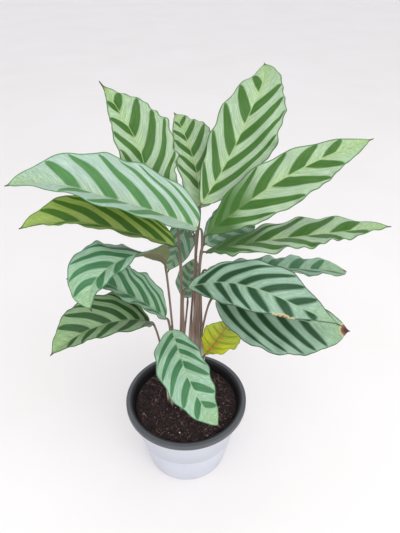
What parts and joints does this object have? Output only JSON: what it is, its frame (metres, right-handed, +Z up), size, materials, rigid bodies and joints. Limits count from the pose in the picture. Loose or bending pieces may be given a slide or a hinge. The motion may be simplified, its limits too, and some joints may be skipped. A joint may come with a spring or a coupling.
{
  "type": "potted calathea",
  "caption": "Potted calathea with upright and arching herringbone-striped leaves on slim purple stalks, in soil in a tapered pale pot with a dark rimmed liner.",
  "frame": {"origin": "centre of the outer pot's flat foot, on the surface it stands on", "axes": "+Z up through the middle of the pots; -Y is the side seen from the front, +X is to the right from there"},
  "size_m": [0.3081, 0.1799, 0.412],
  "materials": {
    "outer_pot": "satin",
    "grow_pot": "satin",
    "soil": "matte",
    "striped_leaf": "satin",
    "olive_leaf": "satin",
    "dark_leaf": "satin",
    "yellow_leaf": "satin",
    "stalk": "satin"
  },
  "bodies": {
    "root": {"outer_pot": "outer_pot", "grow_pot": "grow_pot", "soil": "soil", "blade_tallest": "striped_leaf", "blade_back_left": "striped_leaf", "blade_back_middle": "striped_leaf", "blade_left_high": "striped_leaf", "blade_left_middle": "olive_leaf", "blade_left_arching": "striped_leaf", "blade_left_low": "striped_leaf", "blade_left_lowest": "striped_leaf", "blade_front_hanging": "striped_leaf", "blade_yellowing": "yellow_leaf", "blade_right_high": "striped_leaf", "blade_right_long": "striped_leaf", "blade_right_hidden": "striped_leaf", "blade_right_narrow": "striped_leaf", "blade_right_broad": "dark_leaf", "blade_right_lowest": "dark_leaf", "blade_inner_left": "striped_leaf", "blade_inner_back": "striped_leaf", "stalk_tallest": "stalk", "stalk_back_left": "stalk", "stalk_back_middle": "stalk", "stalk_left_high": "stalk", "stalk_left_middle": "stalk", "stalk_left_arching": "stalk", "stalk_left_low": "stalk", "stalk_left_lowest": "stalk", "stalk_front_hanging": "stalk", "stalk_yellowing": "stalk", "stalk_right_high": "stalk", "stalk_right_long": "stalk", "stalk_right_hidden": "stalk", "stalk_right_narrow": "stalk", "stalk_right_broad": "stalk", "stalk_right_lowest": "stalk", "stalk_inner_left": "stalk", "stalk_inner_back": "stalk"}
  },
  "joints": []
}
